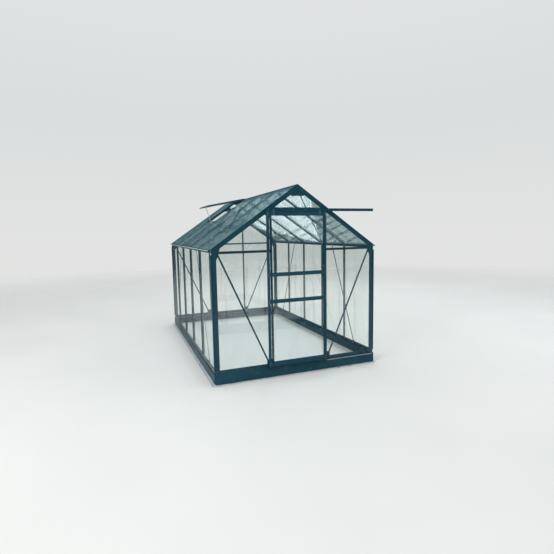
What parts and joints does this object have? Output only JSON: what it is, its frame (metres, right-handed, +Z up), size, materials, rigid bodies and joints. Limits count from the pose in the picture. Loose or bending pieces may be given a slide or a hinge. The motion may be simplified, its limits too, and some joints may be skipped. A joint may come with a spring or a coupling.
{
  "type": "greenhouse",
  "caption": "Glazed gable-roof greenhouse on a steel plinth, with a sliding door in one gable and a roof vent held open by a stay.",
  "frame": {"origin": "on the ground under the middle of the overall footprint", "axes": "+X to the right seen from the door, +Y along the ridge away from the door gable, +Z up"},
  "size_m": [1.984, 3.232, 2.0812],
  "materials": {
    "frame_paint": "satin dark blue-green paint",
    "plinth_paint": "satin dark blue-green paint on folded steel",
    "clear_glass": "clear horticultural glass with a faint green tint",
    "bare_metal": "plain mill finish",
    "black_plastic": "black nylon"
  },
  "bodies": {
    "frame": {"plinth_front": "plinth_paint", "plinth_back": "plinth_paint", "plinth_left": "plinth_paint", "plinth_right": "plinth_paint", "sill_front": "frame_paint", "sill_back": "frame_paint", "sill_left": "frame_paint", "sill_right": "frame_paint", "corner_posts": "frame_paint", "door_posts": "frame_paint", "back_posts": "frame_paint", "wall_bars_left": "frame_paint", "wall_bars_right": "frame_paint", "cross_bars_front": "frame_paint", "cross_bars_back": "frame_paint", "header": "frame_paint", "rafters_front": "frame_paint", "rafters_back": "frame_paint", "ridge_bar": "frame_paint", "gutter_left": "frame_paint", "gutter_right": "frame_paint", "roof_bars_left": "frame_paint", "roof_bars_right": "frame_paint", "gable_braces": "frame_paint", "wall_braces": "frame_paint", "roof_braces": "frame_paint", "joint_plates": "frame_paint", "vent_sill": "frame_paint", "vent_frame": "frame_paint", "vent_glass": "clear_glass", "vent_stay": "bare_metal", "door_track": "frame_paint", "door_guide_rail": "bare_metal", "glass_front": "clear_glass", "glass_back": "clear_glass", "glass_left": "clear_glass", "glass_right": "clear_glass", "glass_roof_left": "clear_glass", "glass_roof_right": "clear_glass"},
    "door": {"door_stiles": "frame_paint", "door_rails": "frame_paint", "door_glass": "clear_glass", "door_hangers": "frame_paint", "door_wheels": "black_plastic", "door_guides": "black_plastic"}
  },
  "joints": [
    {"name": "door_slide", "type": "slide", "parent": "frame", "child": "door", "axis": [1, 0, 0], "range_m": [0, 0.59]}
  ]
}
